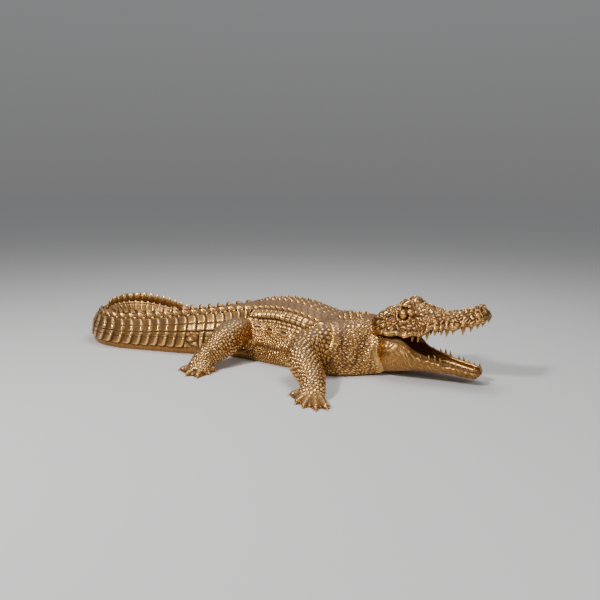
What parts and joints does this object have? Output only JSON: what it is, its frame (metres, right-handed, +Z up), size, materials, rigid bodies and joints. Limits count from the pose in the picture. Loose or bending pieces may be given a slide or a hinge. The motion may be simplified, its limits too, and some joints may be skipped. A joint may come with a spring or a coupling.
{
  "type": "crocodile sculpture",
  "caption": "Crocodile figure in gold-painted resin, lying on its belly with open toothed jaws, splayed legs, keeled back scales and a tail bent round beside it.",
  "frame": {"origin": "on the flat of the belly, under the middle of the trunk", "axes": "+X towards the head, +Y towards the creature's left, +Z up"},
  "size_m": [1.8155, 1.1603, 0.2961],
  "materials": {
    "gold_finish": "cast resin painted metallic gold, rubbed bright on the raised scales, with dark brown left in the grooves"
  },
  "bodies": {
    "root": {"crocodile": "gold_finish"}
  },
  "joints": []
}
